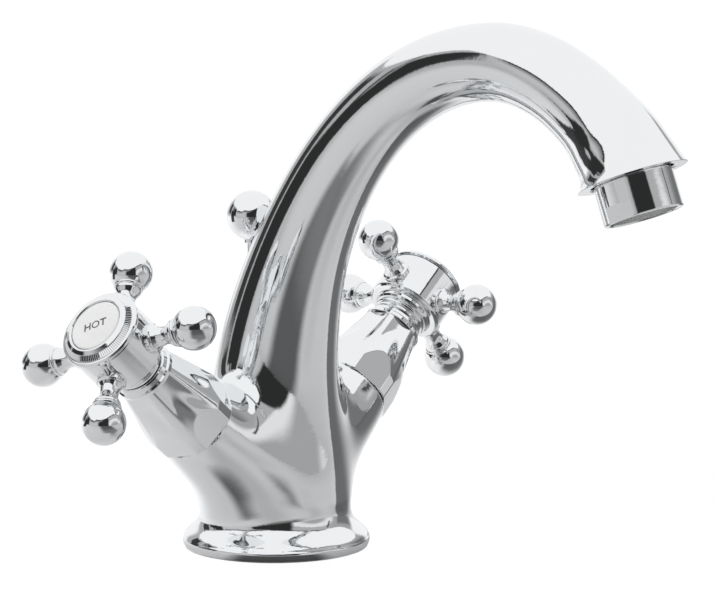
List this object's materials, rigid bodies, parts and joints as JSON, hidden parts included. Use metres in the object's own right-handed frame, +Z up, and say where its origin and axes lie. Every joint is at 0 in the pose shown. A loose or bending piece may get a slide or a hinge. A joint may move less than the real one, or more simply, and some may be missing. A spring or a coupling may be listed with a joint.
{
  "type": "basin mixer tap",
  "caption": "Basin mixer tap: swan-neck spout cast with its body, cross handles on slanted quarter-turn valves, lift rod for the waste, fixing kit.",
  "frame": {"origin": "centre of the round foot's underside, on the basin ledge", "axes": "+Z up, the spout reaches towards -Y, the hot handle is on the -X side and the cold handle on the +X side"},
  "size_m": [0.1742, 0.1727, 0.2143],
  "materials": {
    "chrome": "polished",
    "brass": "satin",
    "rubber": "matte",
    "ceramic": "satin",
    "porcelain": "gloss",
    "plastic": "satin",
    "zinc_steel": "satin"
  },
  "bodies": {
    "fixed_body": {"body_casting": "chrome", "base_gasket": "rubber", "hot_bonnet": "chrome", "cold_bonnet": "chrome", "hot_cartridge": "brass", "cold_cartridge": "brass", "hot_seat_seal": "rubber", "cold_seat_seal": "rubber", "hot_fixed_disc": "ceramic", "cold_fixed_disc": "ceramic", "aerator_housing": "chrome", "aerator_insert": "plastic", "aerator_washer": "rubber", "rod_bush": "plastic", "fixing_stud": "zinc_steel", "rubber_horseshoe": "rubber", "steel_horseshoe": "zinc_steel", "fixing_nut": "brass"},
    "hot_handle_set": {"hot_handle": "chrome", "hot_cap": "chrome", "hot_index_disc": "porcelain", "hot_handle_screw": "brass", "hot_spindle": "brass", "hot_moving_disc": "ceramic", "hot_spindle_o_ring": "rubber"},
    "cold_handle_set": {"cold_handle": "chrome", "cold_cap": "chrome", "cold_index_disc": "porcelain", "cold_handle_screw": "brass", "cold_spindle": "brass", "cold_moving_disc": "ceramic", "cold_spindle_o_ring": "rubber"},
    "lift_set": {"lift_knob": "chrome", "lift_rod": "chrome"}
  },
  "joints": [
    {"name": "hot_turn", "type": "hinge", "parent": "fixed_body", "child": "hot_handle_set", "pos_m": [0, 0.001, 0.0137], "axis": [-0.7804, 0, 0.6252], "range_deg": [0, 90]},
    {"name": "cold_turn", "type": "hinge", "parent": "fixed_body", "child": "cold_handle_set", "pos_m": [0, 0.001, 0.0137], "axis": [0.7804, 0, 0.6252], "range_deg": [-90, 0]},
    {"name": "lift_slide", "type": "slide", "parent": "fixed_body", "child": "lift_set", "axis": [0, 0, 1], "range_m": [0, 0.015]}
  ]
}
